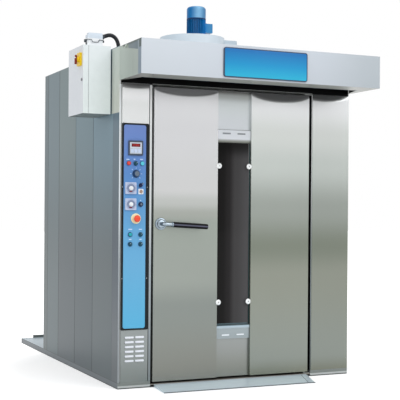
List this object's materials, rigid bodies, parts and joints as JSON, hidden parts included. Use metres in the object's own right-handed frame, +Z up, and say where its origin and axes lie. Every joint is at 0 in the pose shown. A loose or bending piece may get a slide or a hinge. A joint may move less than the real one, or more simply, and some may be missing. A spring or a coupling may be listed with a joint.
{
  "type": "rotating rack oven",
  "caption": "Rotating rack bakery oven: insulated cabinet with a hinged window door, blue control column, front hood, roof rack drive and side switch box.",
  "frame": {"origin": "rack turning axis at floor level, on the underside of the base", "axes": "+X to the right along the front, +Y from the front to the rear, +Z up"},
  "size_m": [1.9324, 2.788, 2.597],
  "materials": {
    "base_sheet": "satin grey-blue sheet",
    "chamber_steel": "matt stainless",
    "frame_steel": "brushed stainless",
    "wall_steel": "brushed stainless, blue-grey reflections",
    "back_sheet": "galvanised sheet",
    "front_steel": "brushed stainless",
    "wool": "mineral wool",
    "hot_steel": "heat-dulled steel",
    "fan_steel": "plain",
    "motor_blue": "gloss blue enamel",
    "hood_sheet": "pale satin sheet",
    "sign_blue": "blue gradient panel, dark rim",
    "panel_blue": "blue gradient fascia, black rim",
    "housing_grey": "light grey",
    "controller_grey": "grey, satin",
    "key_grey": "soft grey",
    "red_plastic": "red",
    "turquoise_plastic": "lit turquoise",
    "teal_plastic": "dark teal",
    "knob_dark": "dark blue-grey",
    "box_sheet": "pale grey enamel",
    "lock_steel": "bright",
    "isolator_yellow": "yellow",
    "isolator_red": "dark red",
    "plug_grey": "cast light grey",
    "clip_steel": "dark steel",
    "conduit_black": "corrugated black",
    "cowl_blue": "light blue enamel",
    "shaft_steel": "machined",
    "bracket_steel": "bright stainless",
    "window_glass": "dark reflective",
    "seal_rubber": "silicone",
    "handle_chrome": "polished",
    "grip_black": "black, satin"
  },
  "bodies": {
    "cabinet": {"base_frame": "base_sheet", "chamber_floor": "chamber_steel", "entry_ramp": "base_sheet", "front_frame": "frame_steel", "left_wall_panels": "wall_steel", "right_wall_panels": "wall_steel", "rear_wall": "back_sheet", "roof_panel": "back_sheet", "column_cover": "front_steel", "right_column_cover": "front_steel", "chamber_liner": "chamber_steel", "air_duct_wall": "chamber_steel", "insulation": "wool", "heat_exchanger": "hot_steel", "fan_motor": "motor_blue", "hood_shell": "hood_sheet", "sign_plate": "sign_blue", "control_panel": "panel_blue", "panel_housings": "housing_grey", "controller": "controller_grey", "switch_box": "box_sheet", "connector_base": "plug_grey", "connector_hood": "plug_grey", "cable_conduit": "conduit_black", "drive_housing": "back_sheet", "drive_motor": "motor_blue", "motor_cowl": "cowl_blue", "shaft_bearing": "clip_steel", "door_pivots": "frame_steel"},
    "door": {"door_pan": "front_steel", "door_left_skin": "front_steel", "door_right_skin": "front_steel", "door_strip_panels": "front_steel", "window_fittings": "bracket_steel", "window_glass": "window_glass", "door_gasket": "seal_rubber"},
    "handle": {"handle_lever": "handle_chrome", "handle_grip": "grip_black"},
    "rack_drive": {"rack_shaft": "shaft_steel"},
    "air_fan": {"circulation_fan": "fan_steel"},
    "box_lid": {"switch_box_lid": "box_sheet", "isolator_base": "isolator_yellow"},
    "box_lock": {"lid_lock": "lock_steel"},
    "isolator": {"isolator_handle": "isolator_red"},
    "plug_lever": {"connector_lever": "clip_steel"},
    "key_left": {"key_left": "key_grey"},
    "key_middle": {"key_middle": "key_grey"},
    "key_right": {"key_right": "key_grey"},
    "red_button": {"red_button": "red_plastic"},
    "light_button": {"light_button": "turquoise_plastic"},
    "emergency_stop": {"emergency_stop": "red_plastic"},
    "selector_heat": {"selector_heat": "teal_plastic"},
    "selector_steam": {"selector_steam": "teal_plastic"},
    "selector_fan": {"selector_fan": "teal_plastic"},
    "selector_light": {"selector_light": "teal_plastic"},
    "steam_knob": {"steam_knob": "knob_dark"},
    "program_switch": {"program_switch": "knob_dark"},
    "small_knob": {"small_knob": "knob_dark"},
    "timer_dial_upper": {"timer_dial_upper": "housing_grey"},
    "timer_dial_lower": {"timer_dial_lower": "housing_grey"}
  },
  "joints": [
    {"name": "door_hinge", "type": "hinge", "parent": "cabinet", "child": "door", "pos_m": [0.555, -0.613, 0.98], "axis": [0, 0, 1], "range_deg": [0, 110]},
    {"name": "handle_turn", "type": "hinge", "parent": "door", "child": "handle", "pos_m": [-0.523, -0.635, 1.047], "axis": [0, 1, 0], "range_deg": [0, 60]},
    {"name": "rack_turn", "type": "hinge", "parent": "cabinet", "child": "rack_drive", "pos_m": [0, 0, 2], "axis": [0, 0, 1], "continuous": true},
    {"name": "air_fan_spin", "type": "hinge", "parent": "cabinet", "child": "air_fan", "pos_m": [-0.209, 0.665, 1.74], "axis": [0, 1, 0], "continuous": true},
    {"name": "box_lid_hinge", "type": "hinge", "parent": "cabinet", "child": "box_lid", "pos_m": [-0.985, -0.167, 1.968], "axis": [0, 0, -1], "range_deg": [0, 115]},
    {"name": "lid_lock_turn", "type": "hinge", "parent": "box_lid", "child": "box_lock", "pos_m": [-1.003, -0.463, 1.966], "axis": [-1, 0, 0], "range_deg": [0, 90]},
    {"name": "isolator_turn", "type": "hinge", "parent": "box_lid", "child": "isolator", "pos_m": [-1.017, -0.427, 2.098], "axis": [-1, 0, 0], "range_deg": [0, 90]},
    {"name": "plug_lever_turn", "type": "hinge", "parent": "cabinet", "child": "plug_lever", "pos_m": [-0.881, -0.335, 2.213], "axis": [1, 0, 0], "range_deg": [0, 60]},
    {"name": "key_left_press", "type": "slide", "parent": "cabinet", "child": "key_left", "axis": [0, 1, 0], "range_m": [0, 0.0015], "stiffness_N_per_m": 400},
    {"name": "key_middle_press", "type": "slide", "parent": "cabinet", "child": "key_middle", "axis": [0, 1, 0], "range_m": [0, 0.0015], "stiffness_N_per_m": 400},
    {"name": "key_right_press", "type": "slide", "parent": "cabinet", "child": "key_right", "axis": [0, 1, 0], "range_m": [0, 0.0015], "stiffness_N_per_m": 400},
    {"name": "red_button_press", "type": "slide", "parent": "cabinet", "child": "red_button", "axis": [0, 1, 0], "range_m": [0, 0.003], "stiffness_N_per_m": 300},
    {"name": "light_button_press", "type": "slide", "parent": "cabinet", "child": "light_button", "axis": [0, 1, 0], "range_m": [0, 0.003], "stiffness_N_per_m": 300},
    {"name": "emergency_stop_press", "type": "slide", "parent": "cabinet", "child": "emergency_stop", "axis": [0, 1, 0], "range_m": [0, 0.006]},
    {"name": "selector_heat_turn", "type": "hinge", "parent": "cabinet", "child": "selector_heat", "pos_m": [-0.7, -0.645, 1.431], "axis": [0, 1, 0], "range_deg": [0, 80]},
    {"name": "selector_steam_turn", "type": "hinge", "parent": "cabinet", "child": "selector_steam", "pos_m": [-0.664, -0.645, 0.979], "axis": [0, 1, 0], "range_deg": [0, 90]},
    {"name": "selector_fan_turn", "type": "hinge", "parent": "cabinet", "child": "selector_fan", "pos_m": [-0.734, -0.645, 0.918], "axis": [0, 1, 0], "range_deg": [-70, 0]},
    {"name": "selector_light_turn", "type": "hinge", "parent": "cabinet", "child": "selector_light", "pos_m": [-0.664, -0.645, 0.918], "axis": [0, 1, 0], "range_deg": [0, 90]},
    {"name": "steam_knob_turn", "type": "hinge", "parent": "cabinet", "child": "steam_knob", "pos_m": [-0.696, -0.645, 1.365], "axis": [0, 1, 0], "range_deg": [-140, 140]},
    {"name": "program_switch_turn", "type": "hinge", "parent": "cabinet", "child": "program_switch", "pos_m": [-0.664, -0.645, 1.293], "axis": [0, 1, 0], "range_deg": [0, 90]},
    {"name": "small_knob_turn", "type": "hinge", "parent": "cabinet", "child": "small_knob", "pos_m": [-0.664, -0.645, 1.171], "axis": [0, 1, 0], "range_deg": [0, 270]},
    {"name": "timer_dial_upper_turn", "type": "hinge", "parent": "cabinet", "child": "timer_dial_upper", "pos_m": [-0.733, -0.645, 1.273], "axis": [0, 1, 0], "range_deg": [0, 300]},
    {"name": "timer_dial_lower_turn", "type": "hinge", "parent": "cabinet", "child": "timer_dial_lower", "pos_m": [-0.733, -0.645, 1.171], "axis": [0, 1, 0], "range_deg": [0, 300]}
  ]
}
